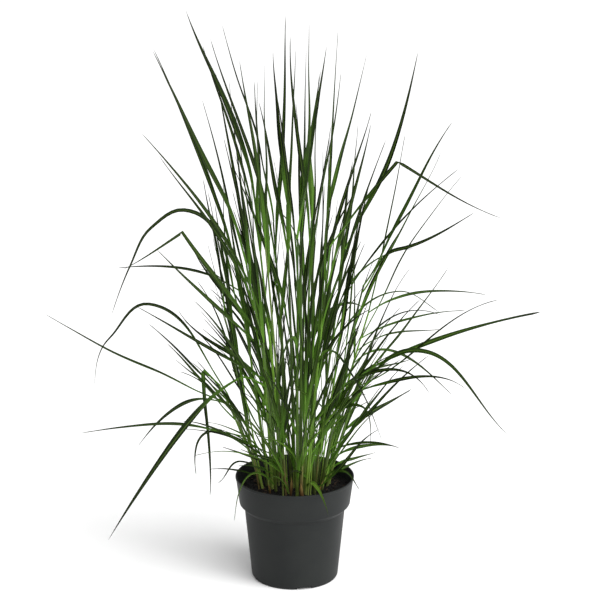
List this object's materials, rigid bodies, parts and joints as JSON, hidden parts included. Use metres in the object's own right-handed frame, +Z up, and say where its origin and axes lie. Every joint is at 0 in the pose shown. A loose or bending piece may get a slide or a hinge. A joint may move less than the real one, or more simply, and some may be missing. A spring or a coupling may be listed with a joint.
{
  "type": "potted ornamental grass clump",
  "caption": "Upright, arching clump of ornamental grass, round culms with long narrow blades, rooted in compost in a tapered plastic nursery pot with a deep collar.",
  "frame": {"origin": "centre of the pot's foot ring, on the ground, under the middle of the whole plant", "axes": "+Z up, the height of the plant; -Y the front, the side with the foot notch a little right of the middle; +X to the right seen from the front"},
  "size_m": [0.7751, 0.6203, 0.9201],
  "materials": {
    "pot_plastic": "injection-moulded anthracite grey polypropylene, satin",
    "compost": "dark brown, damp, fibrous and crumbly",
    "culm": "bright yellow-green leaf sheaths, finely ribbed",
    "blade": "dark green with a paler midrib, finely veined, satin"
  },
  "bodies": {
    "root": {"pot": "pot_plastic", "compost": "compost", "culm_01": "culm", "culm_02": "culm", "culm_03": "culm", "culm_04": "culm", "culm_05": "culm", "culm_06": "culm", "culm_07": "culm", "culm_08": "culm", "culm_09": "culm", "culm_10": "culm", "culm_11": "culm", "culm_12": "culm", "culm_13": "culm", "culm_14": "culm", "culm_15": "culm", "culm_16": "culm", "culm_17": "culm", "culm_18": "culm", "culm_19": "culm", "culm_20": "culm", "culm_21": "culm", "culm_22": "culm", "blade_top_01": "blade", "blade_top_02": "blade", "blade_top_03": "blade", "blade_top_04": "blade", "blade_top_05": "blade", "blade_top_06": "blade", "blade_top_07": "blade", "blade_top_08": "blade", "blade_top_09": "blade", "blade_top_10": "blade", "blade_top_11": "blade", "blade_top_12": "blade", "blade_left_01": "blade", "blade_left_02": "blade", "blade_left_03": "blade", "blade_left_04": "blade", "blade_left_05": "blade", "blade_left_06": "blade", "blade_left_07": "blade", "blade_left_08": "blade", "blade_left_09": "blade", "blade_left_10": "blade", "blade_right_01": "blade", "blade_right_02": "blade", "blade_right_03": "blade", "blade_right_04": "blade", "blade_right_05": "blade", "blade_right_06": "blade", "blade_right_07": "blade", "blade_front_01": "blade", "blade_front_02": "blade", "blade_front_03": "blade", "blade_front_04": "blade", "blade_back_01": "blade", "blade_back_02": "blade", "blade_back_03": "blade"}
  },
  "joints": []
}
